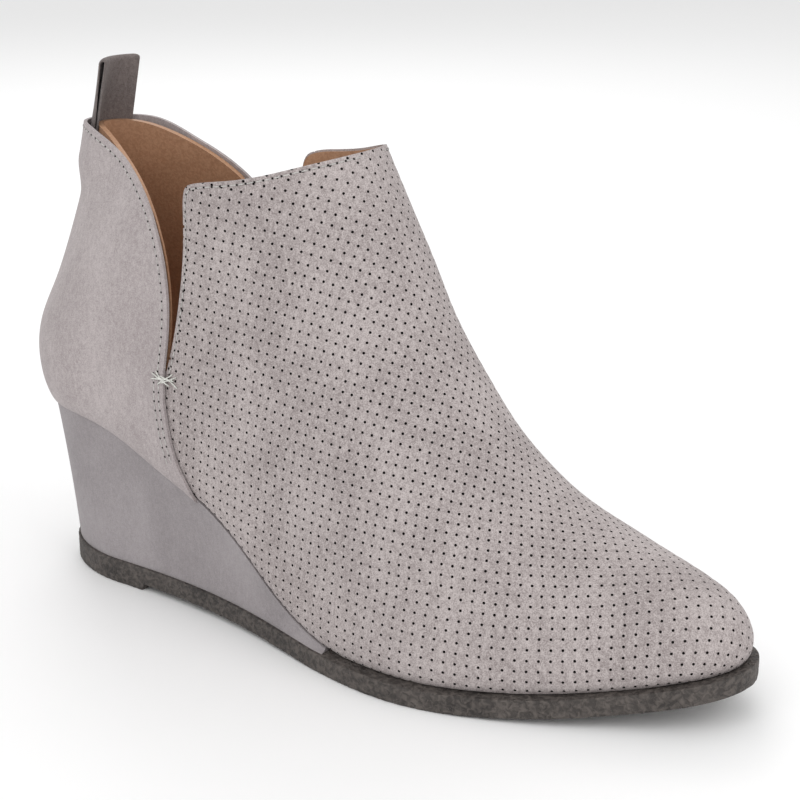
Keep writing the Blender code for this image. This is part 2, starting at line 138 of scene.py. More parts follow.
# Front line: along, share of the instep's height, roundness across
FRONT_LINE = (
    (0.485, 1.000, 1.50),
    (0.512, 0.914, 1.45),
    (0.541, 0.825, 1.40),
    (0.564, 0.750, 1.38),
    (0.591, 0.675, 1.38),
    (0.620, 0.602, 1.40),
    (0.650, 0.526, 1.45),
    (0.689, 0.447, 1.55),
    (0.735, 0.377, 1.65),
    (0.765, 0.346, 1.75),
    (0.801, 0.319, 1.85),
    (0.840, 0.295, 1.95),
    (0.886, 0.275, 2.05),
    (0.928, 0.256, 2.15),
    (0.959, 0.235, 2.20),
    (0.976, 0.212, 2.20),
    (0.989, 0.179, 2.20),
    (0.995, 0.150, 2.20),
)
FRONT_LINE_SLOPE = 1.85
FRONT_LINE_BEND = 7.53

# Back line: up the heel, back, reach of the round, roundness, width behind and before the notch
BACK_LINE = (
    (-0.02, -0.016, 0.125, 2.00, 1.000, 1.000),
    (0.06, -0.029, 0.130, 2.00, 1.010, 1.000),
    (0.18, -0.040, 0.140, 1.95, 1.015, 1.005),
    (0.30, -0.033, 0.150, 1.90, 1.010, 1.010),
    (0.42, -0.013, 0.165, 1.80, 0.990, 1.020),
    (0.55, 0.006, 0.180, 1.65, 0.965, 1.040),
    (0.70, 0.024, 0.205, 1.50, 0.920, 1.090),
    (0.85, 0.040, 0.230, 1.35, 0.860, 1.150),
    (1.00, 0.052, 0.250, 1.25, 0.820, 1.200),
    (1.20, 0.058, 0.250, 1.25, 0.800, 1.240),
)
NOTCH_ALONG = 0.268
NOTCH_BLEND = 0.050

# Edges seen from the side: along, share of the collar's height
QUARTER_EDGE = (
    (-0.080, 1.000),
    (0.045, 1.000),
    (0.080, 0.998),
    (0.136, 0.966),
    (0.194, 0.904),
    (0.236, 0.820),
    (0.256, 0.7235),
    (0.260, 0.630),
    (0.254, 0.5345),
)
SIDE_SEAM = (
    (0.254, 0.4725),
    (0.260, 0.4115),
    (0.2725, 0.3465),
    (0.295, 0.2805),
    (0.306, 0.197),
)

# Vamp's edge seen from the side: along, share of the way from the notch's bottom to the top
VAMP_EDGE = (
    (0.2525, 0.000),
    (0.2645, 0.168),
    (0.2745, 0.366),
    (0.2815, 0.556),
    (0.2842, 0.733),
    (0.2862, 0.815),
    (0.2920, 0.858),
    (0.3060, 0.880),
    (0.345, 0.903),
    (0.390, 0.935),
    (0.430, 0.976),
    (0.480, 1.026),
    (0.560, 1.116),
)


def spline(rows, column=1):
    """Natural cubic curve through one column of a table, against its first column."""
    xs = np.array([row[0] for row in rows])
    ys = np.array([row[column] for row in rows])
    steps = np.diff(xs)
    slopes = np.diff(ys) / steps
    system = np.eye(len(xs))
    right = np.zeros(len(xs))
    for i in range(1, len(xs) - 1):
        system[i, i - 1:i + 2] = (steps[i - 1], 2 * (steps[i - 1] + steps[i]), steps[i])
        right[i] = 6 * (slopes[i] - slopes[i - 1])
    bends = np.linalg.solve(system, right)

    def curve(at):
        at = np.clip(at, xs[0], xs[-1])
        i = np.clip(np.searchsorted(xs, at) - 1, 0, len(steps) - 1)
        left = at - xs[i]
        rest = xs[i + 1] - at
        cubic = (bends[i] * rest ** 3 + bends[i + 1] * left ** 3) / (6 * steps[i])
        ends = (ys[i] / steps[i] - bends[i] * steps[i] / 6) * rest
        return cubic + ends + (ys[i + 1] / steps[i] - bends[i + 1] * steps[i] / 6) * left

    return curve


def round_off(distance, reach, roundness=2.0):
    """Factor that rounds an end: 0 at the end, 1 past the reach."""
    rest = np.clip(1 - distance / reach, 0, 1)
    return np.sqrt(np.clip(1 - rest ** roundness, 0, 1))


def ease(at, start, end):
    """0 before the start, 1 after the end, smooth between."""
    share = np.clip((at - start) / (end - start), 0, 1)
    return share * share * (3 - 2 * share)


def solve(function, low, high):
    """Roots of a function that is below 0 at low and above 0 at high, by halving."""
    for _ in range(48):
        middle = (low + high) / 2
        below = function(middle) < 0
        low = np.where(below, middle, low)
        high = np.where(below, high, middle)
    return (low + high) / 2


sole_of_heel = spline(SOLE_PLAN, 1)
sole_of_ball = spline(SOLE_PLAN, 2)
sole_swing = spline(SOLE_PLAN, 3)
last_of_heel = spline(LAST_PLAN, 1)
last_of_ball = spline(LAST_PLAN, 2)
feather_rise = spline(FEATHER)
front_height = spline(FRONT_LINE, 1)
front_roundness = spline(FRONT_LINE, 2)
back_place = spline(BACK_LINE, 1)
back_reach = spline(BACK_LINE, 2)
back_roundness = spline(BACK_LINE, 3)
width_behind = spline(BACK_LINE, 4)
width_before = spline(BACK_LINE, 5)


def centre(x):
    """Middle line of the sole, which bends inwards at the toe."""
    return BALL_WIDTH * sole_swing(x / SOLE_LENGTH)


def sole_half_width(x):
    share = x / SOLE_LENGTH
    half = HEEL_WIDTH * sole_of_heel(share) + BALL_WIDTH * sole_of_ball(share)
    heel = round_off(x, HEEL_ROUND, HEEL_ROUNDNESS)
    return half * heel * round_off(SOLE_LENGTH - x, TOE_ROUND)


def sheet_bottom(x):
    """Underside of the outsole's sheet, without the heel pad."""
    share = np.clip((x - HEEL_PAD_LENGTH) / (FOREFOOT_FLAT_START - HEEL_PAD_LENGTH), 0, 1)
    waist = HEEL_PAD_THICKNESS * (1 - share) + ARCH_LIFT * np.sin(math.pi * share)
    spring = np.clip((x - FOREFOOT_FLAT_END) / (SOLE_LENGTH - FOREFOOT_FLAT_END), 0, 1)
    return waist + TOE_SPRING * spring ** 2


def outsole_bottom(x):
    step = np.clip((x - HEEL_PAD_LENGTH) / HEEL_PAD_STEP, 0, 1)
    return sheet_bottom(x) * step


def outsole_top(x):
    return sheet_bottom(x) + OUTSOLE_THICKNESS


def feather(x):
    """Height of the line where the upper ends, on the wedge and then on the outsole."""
    seat = outsole_top(x) + SEAT_GAP
    heel_rise = HEEL_HEIGHT - HEEL_PAD_THICKNESS - OUTSOLE_THICKNESS - SEAT_GAP
    return seat + heel_rise * np.clip(feather_rise(x / SOLE_LENGTH), 0, None)


def front_line(x):
    """Height of the last along its middle. Behind the vamp's top it goes on upwards."""
    behind = np.clip(FRONT_LINE[0][0] * SOLE_LENGTH - x, 0, None)
    rise = FRONT_LINE_SLOPE * behind + FRONT_LINE_BEND * behind ** 2 / SOLE_LENGTH
    return INSTEP_HEIGHT * front_height(x / SOLE_LENGTH) + rise


def up_the_back(z):
    return (z - HEEL_HEIGHT) / (COLLAR_HEIGHT - HEEL_HEIGHT)


def back_line(z):
    return SOLE_LENGTH * back_place(up_the_back(z))


def tuck(x, z):
    """How far the last's side is drawn in just above the feather line."""
    rest = np.clip(1 - (z - feather(x)) / FEATHER_TUCK_RISE, 0, 1)
    return FEATHER_TUCK * (1 - np.sqrt(np.clip(1 - rest ** 2, 0, 1)))


def toe_tip(x, z):
    return SOLE_LENGTH - TOE_OVERHANG - tuck(x, z)


def last_half_width(x, z):
    """Half width of the last at one place along it and one height."""
    share = x / SOLE_LENGTH
    up = up_the_back(z)
    behind = 1 - ease(share, NOTCH_ALONG - NOTCH_BLEND, NOTCH_ALONG + NOTCH_BLEND)
    shaft = width_behind(up) * behind + width_before(up) * (1 - behind)
    half = HEEL_WIDTH * last_of_heel(share) + BALL_WIDTH * last_of_ball(share)
    height = np.clip((z - feather(x)) / (front_line(x) - feather(x)), 0, 1)
    over = np.sqrt(np.clip(1 - height ** front_roundness(share), 0, 1))
    heel = round_off(x - back_line(z), SOLE_LENGTH * back_reach(up), back_roundness(up))
    toe = round_off(toe_tip(x, z) - x, TOE_ROUND)
    return (half * shaft - tuck(x, z)) * over * heel * toe


def last_centre(x, z):
    """Middle line of the last, which runs straight at the top of the shaft."""
    return centre(x) * (1 - ease(up_the_back(z), 0.0, 0.8))


def level_height(x, level):
    """Level 0 is the feather line and level 1 is flat, above the collar."""
    return feather(x) * (1 - level) + SHELL_TOP * level


def level_ends(level):
    """Where levels meet the back line, and the front line or the toe's tip."""
    def past_back(x):
        return x - back_line(level_height(x, level))

    def past_front(x):
        z = level_height(x, level)
        return np.maximum(z - front_line(x), x - toe_tip(x, z))

    ones = np.ones_like(level)
    back = solve(past_back, -0.1 * SOLE_LENGTH * ones, 0.2 * SOLE_LENGTH * ones)
    return back, solve(past_front, 0.3 * SOLE_LENGTH * ones, SOLE_LENGTH * ones)


LEVEL_TABLE = np.linspace(0, 1, 401)
BACK_ENDS, FRONT_ENDS = level_ends(LEVEL_TABLE)


def last_point(level, turn):
    """Places on the last. turn is 0 at the back, pi at the front and 2 pi at the back again."""
    back = np.interp(level, LEVEL_TABLE, BACK_ENDS)
    front = np.interp(level, LEVEL_TABLE, FRONT_ENDS)
    x = back + (front - back) * (1 - np.cos(turn)) / 2
    z = level_height(x, level)
    side = np.where(np.mod(turn, 2 * math.pi) < math.pi, -1.0, 1.0)
    half = last_half_width(x, z)
    half = np.where(np.abs(np.sin(turn)) < 1e-9, 0, half)
    return np.stack([x, last_centre(x, z) + side * half, z], -1)


def last_normal(level, turn):
    """Outward unit normals of the last at the same places."""
    step = 1e-3
    low = np.clip(level - step, 0, 1)
    high = np.clip(level + step, 0, 1)
    up = last_point(high, turn) - last_point(low, turn)
    along = last_point(level, turn + 4 * step) - last_point(level, turn - 4 * step)
    normal = np.cross(along, up)
    return normal / np.linalg.norm(normal, axis=-1, keepdims=True)


def smooth_path(rows, steps):
    """Evenly spaced points on a smooth curve through a table's points."""
    points = np.array(rows)
    strides = np.linalg.norm(np.diff(points, axis=0), axis=1)
    distance = np.concatenate([[0], np.cumsum(strides)])
    at = np.linspace(0, distance[-1], steps + 1)
    columns = [spline(list(zip(distance, points[:, i])))(at) for i in range(points.shape[1])]
    return np.stack(columns, 1)


def quarter_edge(steps=120):
    return smooth_path([(a * SOLE_LENGTH, b * COLLAR_HEIGHT) for a, b in QUARTER_EDGE], steps)


def side_seam(steps=60):
    return smooth_path([(a * SOLE_LENGTH, b * COLLAR_HEIGHT) for a, b in SIDE_SEAM], steps)


def vamp_edge(steps=120):
    bottom = QUARTER_EDGE[-1][1] * COLLAR_HEIGHT
    rise = INSTEP_HEIGHT - bottom
    rows = [(a * SOLE_LENGTH + NOTCH_WIDTH / 2, bottom + b * rise) for a, b in VAMP_EDGE]
    return smooth_path(rows, steps)


# Move from the last's own frame to the part's: the loop is even about the last's middle line,
# and the outsole starts at x = 0
LOOP_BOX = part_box("pull_loop")
SHIFT = np.array([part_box("outsole")[0].x, (LOOP_BOX[0].y + LOOP_BOX[1].y) / 2, 0.0])


def place(bm):
    bmesh.ops.translate(bm, verts=bm.verts, vec=SHIFT)


def to_object(name, bm, materials, sharp=40):
    """Object made from a bmesh and moved to its place in the frame. Frees the bmesh."""
    mesh = bpy.data.meshes.new(name)
    place(bm)
    bm.to_mesh(mesh)
    bm.free()
    for material in materials:
        mesh.materials.append(material)
    mesh.shade_smooth()
    mesh.set_sharp_from_angle(angle=math.radians(sharp))
    thing = bpy.data.objects.new(name, mesh)
    bpy.context.scene.collection.objects.link(thing)
    return thing


def tube_mesh(sections, ring=False):
    """Closed bmesh through sections of equal count. Each section is a closed loop of points."""
    sections = np.array(sections)
    if ring:
        sections = np.concatenate([sections, sections[:1]])
    loops = np.concatenate([sections, sections[:, :1]], 1)
    count, size = loops.shape[:2]
    bm = bmesh.new()
    bmesh.ops.create_grid(bm, x_segments=size - 1, y_segments=count - 1, size=1)
    bm.verts.ensure_lookup_table()
    for vertex, point in zip(bm.verts, loops.reshape(-1, 3)):
        vertex.co = point
    if not ring:
        half = (size - 1) // 2
        for start in (0, (count - 1) * size):
            for i in range(half - 1):
                far = size - 2 - i
                corners = (i, i + 1, far - 1, far)
                bm.faces.new([bm.verts[start + corner] for corner in corners])
    bmesh.ops.remove_doubles(bm, verts=bm.verts, dist=1e-6)
    bmesh.ops.dissolve_degenerate(bm, edges=bm.edges, dist=1e-7)
    bmesh.ops.recalc_face_normals(bm, faces=bm.faces)
    return bm


def side_cutter(outline):
    """Prism right across the boot whose outline is given as seen from the side."""
    bm = bmesh.new()
    face = bm.faces.new([bm.verts.new((x, -BALL_WIDTH, z)) for x, z in outline])
    region = bmesh.ops.extrude_face_region(bm, geom=[face])
    moved = [item for item in region["geom"] if isinstance(item, bmesh.types.BMVert)]
    bmesh.ops.translate(bm, verts=moved, vec=(0, 2 * BALL_WIDTH, 0))
    bmesh.ops.recalc_face_normals(bm, faces=bm.faces)
    return to_object("cutter", bm, [])


def cut(thing, outline, operation, solver="MANIFOLD", sharp=40):
    """Cuts a piece by a side outline, and leaves the result as its plain mesh."""
    cutter = side_cutter(outline)
    modifier = thing.modifiers.new("cut", "BOOLEAN")
    modifier.operation = operation
    modifier.solver = solver
    modifier.object = cutter
    graph = bpy.context.evaluated_depsgraph_get()
    mesh = bpy.data.meshes.new_from_object(thing.evaluated_get(graph))
    thing.modifiers.clear()
    thing.data = mesh
    bpy.data.objects.remove(cutter)
    mesh.shade_smooth()
    mesh.set_sharp_from_angle(angle=math.radians(sharp))
    return thing


# Vamp: the leather is punched flat, then drawn over the last, so its rows are laid out flat here
VAMP_BACK = 0.222 * SOLE_LENGTH
VAMP_SUEDE = 0.0010
PITCH = 0.00305
HOLE_RADIUS = 0.00043
HOLE_DEPTH = 0.00070
HOLE_DIMPLE = 0.00008
ROWS_TURNED = math.radians(53)
FLAT_ROWS = 25
FLAT_COLUMNS = 65
FLAT_START = 0.29 * math.pi
FLAT_TURNS = 90
FLAT_SPARE_WEIGHT = 0.02
LEVELS_CLOSER_LOW = 1.6
VAMP_LINE = vamp_edge()
VAMP_CORNER = 0.3 * SOLE_LENGTH
CUT_ABOVE = SHELL_TOP + 20 * MM


def past_vamp_edge(places):
    """How far places are past the vamp's edge, seen from the side. Inside it is negative."""
    x, z = places[..., 0], places[..., 2]
    over_top = z - np.interp(x, VAMP_LINE[:, 0], VAMP_LINE[:, 1])
    behind_notch = np.interp(z, VAMP_LINE[:, 1], VAMP_LINE[:, 0]) - x
    past = np.where(x < VAMP_CORNER, behind_notch, over_top)
    return np.where(z < VAMP_LINE[0, 1], VAMP_BACK - x, past)


def flatten(points, weight):
    """Lays a grid of points out flat with little stretch. Columns go round the vamp.

    Each triangle is kept near its own shape, and more so where its weight is high. Returns the
    flat points and the triangles.
    """
    rows, columns = points.shape[:2]
    index = np.arange(rows * columns).reshape(rows, columns)
    corner = [index[:-1, :-1], index[:-1, 1:], index[1:, 1:], index[1:, :-1]]
    halves = [[corner[i] for i in half] for half in ((0, 1, 2), (0, 2, 3))]
    triangles = np.concatenate([np.stack(half, -1).reshape(-1, 3) for half in halves])
    corners = points.reshape(-1, 3)[triangles]
    share = weight.reshape(-1)[triangles].mean(1)
    first = corners[:, 1] - corners[:, 0]
    second = corners[:, 2] - corners[:, 0]
    length = np.linalg.norm(first, axis=1)
    own = np.zeros((len(triangles), 3, 2))
    own[:, 1, 0] = length
    own[:, 2, 0] = (first * second).sum(1) / length
    own[:, 2, 1] = np.linalg.norm(np.cross(first, second), axis=1) / length
    edges = []
    pull = np.zeros((index.size, index.size))
    for i, j, k in ((0, 1, 2), (1, 2, 0), (2, 0, 1)):
        p = own[:, i] - own[:, k]
        q = own[:, j] - own[:, k]
        area = np.abs(p[:, 0] * q[:, 1] - p[:, 1] * q[:, 0])
        force = share * np.maximum((p * q).sum(1) / area, 0.05)
        edges.append((triangles[:, i], triangles[:, j], own[:, i] - own[:, j], force))
        for one, other in ((i, j), (j, i)):
            np.add.at(pull, (triangles[:, one], triangles[:, one]), force)
            np.add.at(pull, (triangles[:, one], triangles[:, other]), -force)
    pull[0, 0] += 1
    back = np.linalg.inv(pull)
    middle = columns // 2
    across = np.linalg.norm(np.diff(points, axis=1), axis=2)
    along = np.concatenate([np.zeros((rows, 1)), np.cumsum(across, 1)], 1)
    along -= along[:, middle:middle + 1]
    rise = np.linalg.norm(np.diff(points[:, middle], axis=0), axis=1)
    up = np.concatenate([[0], np.cumsum(rise)])
    flat = np.stack([along, np.repeat(up[:, None], columns, 1)], -1).reshape(-1, 2)
    for _ in range(FLAT_TURNS):
        spread = np.zeros((len(triangles), 2, 2))
        for i, j, step, force in edges:
            moved = flat[i] - flat[j]
            spread += force[:, None, None] * moved[:, :, None] * step[:, None, :]
        angle = np.arctan2(spread[:, 1, 0] - spread[:, 0, 1], spread[:, 0, 0] + spread[:, 1, 1])
        cosine, sine = np.cos(angle), np.sin(angle)
        wanted = np.zeros_like(flat)
        for i, j, step, force in edges:
            turned = np.stack([cosine * step[:, 0] - sine * step[:, 1],
                               sine * step[:, 0] + cosine * step[:, 1]], 1) * force[:, None]
            np.add.at(wanted, i, turned)
            np.add.at(wanted, j, -turned)
        flat = back @ wanted
    return flat.reshape(rows, columns, 2), triangles


def vamp_relief(points):
    """Soft troughs and ridges of the vamp, in metres along the normal."""
    x, y, z = points[..., 0], points[..., 1], points[..., 2]
    relief = np.zeros(x.shape)
    for place_x, place_z, long, tall, lean, height, side in VAMP_CREASES:
        dx = x - place_x * SOLE_LENGTH
        dz = z - place_z * INSTEP_HEIGHT
        along = dx * math.cos(lean) + dz * math.sin(lean)
        across = dz * math.cos(lean) - dx * math.sin(lean)
        near = np.exp(-(along / long) ** 2 - (across / tall) ** 2)
        on_side = ease(-y * side, -0.010, 0.006) if side else 1
        relief += height * near * on_side
    return relief


# Creases of the vamp: along, up (shares), length, width, lean, height, side (-1 inner, 1 outer)
VAMP_CREASES = (
    (0.340, 0.72, 0.0300, 0.0060, 0.90, -0.00045, 1),
    (0.400, 0.60, 0.0300, 0.0060, 0.60, 0.00030, 1),
    (0.520, 0.50, 0.0300, 0.0050, -0.50, -0.00030, 1),
    (0.610, 0.33, 0.0300, 0.0055, -0.30, -0.00030, 1),
    (0.500, 0.42, 0.0350, 0.0070, -0.20, 0.00025, 1),
    (0.360, 0.66, 0.0280, 0.0060, 0.70, -0.00040, -1),
    (0.560, 0.44, 0.0300, 0.0060, -0.40, -0.00035, -1),
    (0.640, 0.34, 0.0280, 0.0060, -0.30, 0.00025, -1),
)


def make_vamp(materials):
    """Vamp with its rows of blind pinholes.

    A flat lattice of half the pitch is drawn over the last. Its even corners are holes, and
    diagonals give each of them eight edges, so that a vertex bevel leaves a round face.
    """
    level = np.linspace(0, 1, FLAT_ROWS)
    turn = np.linspace(FLAT_START, 2 * math.pi - FLAT_START, FLAT_COLUMNS)
    rises, turns = np.meshgrid(level, turn, indexing="ij")
    points = last_point(rises ** LEVELS_CLOSER_LOW, turns)
    weight = np.where(past_vamp_edge(points) < 4 * MM, 1.0, FLAT_SPARE_WEIGHT)
    flat, triangles = flatten(points, weight)
    flat = flat.reshape(-1, 2)
    own = np.stack([rises, turns], -1).reshape(-1, 2)
    to_rows = np.array(Matrix.Rotation(ROWS_TURNED, 2))
    laid = flat @ to_rows.T
    low = 2 * np.floor(laid.min(0) / PITCH).astype(int) - 2
    count = 2 * np.ceil(laid.max(0) / PITCH).astype(int) + 2 - low
    bm = bmesh.new()
    bmesh.ops.create_grid(bm, x_segments=int(count[0]), y_segments=int(count[1]), size=1)
    number = np.arange(len(bm.verts))
    step = np.stack([number % (count[0] + 1), number // (count[0] + 1)], 1) + low
    wanted = (step * PITCH / 2) @ to_rows
    corners = [Vector((p[0], p[1], 0)) for p in flat]
    tree = BVHTree.FromPolygons(corners, triangles.tolist())
    reach = 0.45 * PITCH
    given = np.zeros((len(number), 2))
    kind = np.zeros(len(number), int)
    for i, (x, y) in enumerate(wanted):
        spot, _, face, distance = tree.find_nearest(Vector((x, y, 0)), reach)
        if spot is None:
            continue
        a, b, c = triangles[face]
        one, two = flat[b] - flat[a], flat[c] - flat[a]
        rest = np.array(spot[:2]) - flat[a]
        area = one[0] * two[1] - one[1] * two[0]
        p = (rest[0] * two[1] - rest[1] * two[0]) / area
        q = (one[0] * rest[1] - one[1] * rest[0]) / area
        given[i] = own[a] * (1 - p - q) + own[b] * p + own[c] * q
        kind[i] = 2 if distance > 1e-6 else 1
    given[:, 0] = np.clip(given[:, 0], 0, 1)
    levels = given[:, 0] ** LEVELS_CLOSER_LOW
    places = last_point(levels, given[:, 1])
    normals = last_normal(levels, given[:, 1])
    places += normals * vamp_relief(places)[:, None]
    past = past_vamp_edge(places)
    keep = (kind > 0) & (past < 2.2 * PITCH)
    mark = bm.verts.layers.int.new("hole")
    bm.verts.ensure_lookup_table()
    for i, vertex in enumerate(bm.verts):
        vertex.co = places[i]
        odd = step[i] % 2
        if kind[i] == 1 and not odd.any():
            vertex[mark] = i + 1
        elif odd.all():
            vertex[mark] = -(i + 1)
    bmesh.ops.delete(bm, geom=[v for i, v in enumerate(bm.verts) if not keep[i]], context="VERTS")
    bmesh.ops.dissolve_degenerate(bm, edges=bm.edges, dist=1e-5)
    loose = [v for v in bm.verts if not v.link_faces]
    bmesh.ops.delete(bm, geom=loose, context="VERTS")
    bmesh.ops.recalc_face_normals(bm, faces=bm.faces)
    face = max(bm.faces, key=lambda f: f.calc_center_median().x)
    if face.normal.x < 0:
        bmesh.ops.reverse_faces(bm, faces=bm.faces)
    edge_marks = {v[mark] for v in bm.verts if v.is_boundary}
    bmesh.ops.solidify(bm, geom=bm.faces[:], thickness=VAMP_SUEDE)
    outer = [v for v in bm.verts
             if v[mark] and (v.co - Vector(places[abs(v[mark]) - 1])).length < 1e-5]
    holes = [v for v in outer if v[mark] > 0 and v[mark] not in edge_marks]
    bmesh.ops.connect_verts(bm, verts=holes + [v for v in outer if v[mark] < 0])
    holes = [v for v in holes if len(v.link_edges) == 8]
    made = bmesh.ops.bevel(bm, geom=holes, affect="VERTICES", offset=HOLE_RADIUS, segments=1,
                           profile=0.5, material=-1)
    rings = [f for f in made["faces"] if len(f.verts) == 8]
    for ring in rings:
        sunk = ring.normal * HOLE_DIMPLE
        for vertex in ring.verts:
            vertex.co -= sunk
    # The round faces are pushed in as blind pits, and their walls and bottoms take the second
    # material: near-black painted shade in the holes.
    pits = bmesh.ops.extrude_discrete_faces(bm, faces=rings)["faces"]
    for pit in pits:
        pit.normal_update()
        sunk = pit.normal * HOLE_DEPTH
        for vertex in pit.verts:
            vertex.co -= sunk
            for wall in vertex.link_faces:
                wall.material_index = 1
    vamp = to_object("vamp", bm, materials)
    behind = -60 * MM
    corners = [(VAMP_LINE[-1, 0], CUT_ABOVE), (behind, CUT_ABOVE), (behind, VAMP_LINE[0, 1])]
    return cut(vamp, np.concatenate([VAMP_LINE, corners]), "DIFFERENCE")


def shell_mesh(columns, rows, outer, inner, ring):
    """Closed bmesh between two surfaces given as functions of level and turn."""
    level = np.linspace(0, 1, rows + 1) ** LEVELS_CLOSER_LOW
    levels, turns = np.meshgrid(level, columns, indexing="ij")
    outside = outer(levels, turns)
    inside = inner(levels, turns)
    sections = np.concatenate([outside, inside[::-1]]).transpose(1, 0, 2)
    return tube_mesh(sections, ring)


def offset_surface(offset):
    """Surface at a distance from the last. The distance is a number or a function of place."""
    def surface(levels, turns):
        points = last_point(levels, turns)
        far = offset(points)[..., None] if callable(offset) else offset
        return points + last_normal(levels, turns) * far

    return surface


LOOP_BUMP_BESIDE = 0.0077
LOOP_BUMP_BELOW = 0.0127


def leg_space(points):
    """Extra room under the quarter where the pull loop's legs lie."""
    y = np.abs(points[..., 1])
    edge = LOOP_WIDTH / 2 + 2 * LOOP_STRIP
    beside = 1 - ease(y, edge, edge + LOOP_BUMP_BESIDE)
    bottom = COLLAR_HEIGHT - LOOP_LEG - LOOP_STRIP / 2
    above = ease(points[..., 2], bottom - LOOP_BUMP_BELOW, bottom)
    behind = points[..., 0] < 0.2 * SOLE_LENGTH
    return (2 * LOOP_STRIP + LOOP_SLOT + 2 * SEAT_GAP) * beside * above * behind


def quarter_outline():
    """Side outline of the quarter: its edge, its seam down to the feather line, and below."""
    edge = quarter_edge()
    seam = side_seam()
    above = seam[:, 1] - feather(seam[:, 0])
    crossing = int(np.argmax(above < 0))
    share = above[crossing - 1] / (above[crossing - 1] - above[crossing])
    seam[crossing] = seam[crossing - 1] + share * (seam[crossing] - seam[crossing - 1])
    seam = seam[:crossing + 1]
    low = HEEL_HEIGHT - 30 * MM
    bottom = [(seam[-1, 0], low), (edge[0, 0], low)]
    return np.concatenate([edge, seam, bottom])


def quarter_back(points):
    return SEAT_GAP + leg_space(points)


def quarter_face(points):
    return SEAT_GAP + SUEDE + leg_space(points)


def make_quarter(materials):
    reach = 0.62 * math.pi
    columns = np.linspace(-reach, reach, 181)
    bm = shell_mesh(columns, 96, offset_surface(quarter_face), offset_surface(quarter_back), False)
    quarter = to_object("quarter_suede", bm, materials)
    return cut(quarter, quarter_outline(), "INTERSECT")


LINING_GAP = 0.00005
LINING_INSET_QUARTER = 0.0007
LINING_INSET_VAMP = 0.0005


def under_vamp(points):
    """1 where the lining lies under the vamp, 0 where it lies under the quarter alone."""
    return ease(points[..., 0], 0.205 * SOLE_LENGTH, 0.218 * SOLE_LENGTH)


def make_lining(materials):
    """Lining under vamp and quarter, cut out just inside the edges of both."""
    columns = np.linspace(0, 2 * math.pi, 181)[:-1]

    def outer_offset(points):
        return (vamp_relief(points) - VAMP_SUEDE - LINING_GAP) * under_vamp(points)

    def inner_offset(points):
        return vamp_relief(points) * under_vamp(points) - UPPER_WALL

    bm = shell_mesh(columns, 60, offset_surface(outer_offset), offset_surface(inner_offset), True)
    lining = to_object("lining_leather", bm, materials)
    behind = quarter_edge() - LINING_INSET_QUARTER
    before = vamp_edge() + LINING_INSET_VAMP * np.array([1, -1])
    corners = [(before[-1, 0], CUT_ABOVE), (behind[0, 0], CUT_ABOVE)]
    return cut(lining, np.concatenate([behind, before, corners]), "DIFFERENCE", "EXACT")


def feather_chains(distance, steps):
    """The feather line from heel to toe on each side, moved outwards in plan."""
    turn = np.linspace(0, 2 * math.pi, 2 * steps + 1)[:-1]
    ring = last_point(np.zeros_like(turn), turn)[:, :2]
    along = np.roll(ring, -1, 0) - np.roll(ring, 1, 0)
    away = np.stack([along[:, 1], -along[:, 0]], 1)
    away /= np.linalg.norm(away, axis=1, keepdims=True)
    moved = ring + distance * away
    return moved[:steps + 1], np.concatenate([moved[:1], moved[:steps - 1:-1]])


def make_wedge(materials):
    """Wedge between the outsole's top and the feather line, down to a thin front edge."""
    steps = 90
    turn = np.linspace(0, math.pi, steps + 1)
    line = last_point(np.zeros_like(turn), turn)
    stations = line[:, 0]
    seat = line[:, 2] - SEAT_GAP
    room = seat - outsole_top(stations) - SEAT_GAP
    end = np.interp(-WEDGE_EDGE, -room[steps // 4:], stations[steps // 4:])
    outer, inner = feather_chains(WEDGE_FLARE, steps)
    last = int(np.searchsorted(outer[:, 0], end))
    sections = []
    for i in range(last + 1):
        share = min((outer[i, 0] - outer[0, 0]) / (end - outer[0, 0]), 1)
        x = WEDGE_INSET + (end - WEDGE_INSET) * share
        half = max(sole_half_width(x) - WEDGE_INSET, 0) if i else 0
        foot = outsole_top(x) + 0.02 * MM
        sides = []
        for side, chain in ((-1, outer), (1, inner)):
            top_x = chain[i, 0] if i < last else end
            top_y = np.interp(top_x, chain[:, 0], chain[:, 1])
            top = np.array([top_x, top_y, np.interp(top_x, stations, seat)])
            low = np.array([x, centre(x) + side * half, foot])
            beside = min(1, half / WEDGE_ROUND)
            rows = []
            for up in np.linspace(0, 1, 13):
                bow = 4 * up * (1 - up) * WEDGE_HOLLOW
                point = low + (top - low) * up
                point[1] -= side * bow * beside
                point[0] += bow * (1 - beside)
                rows.append(point)
            sides.append(rows)
        sections.append(sides[0] + sides[1][::-1])
    return to_object("wedge_suede", tube_mesh(sections), materials)


# Outsole: rounding of its edges, and the pebbles on its side as scale and share of the height
SOLE_EDGE = 0.0007
PEBBLES = ((620, 1.0), (1300, 0.6))
PEBBLE_HEIGHT = 0.00013


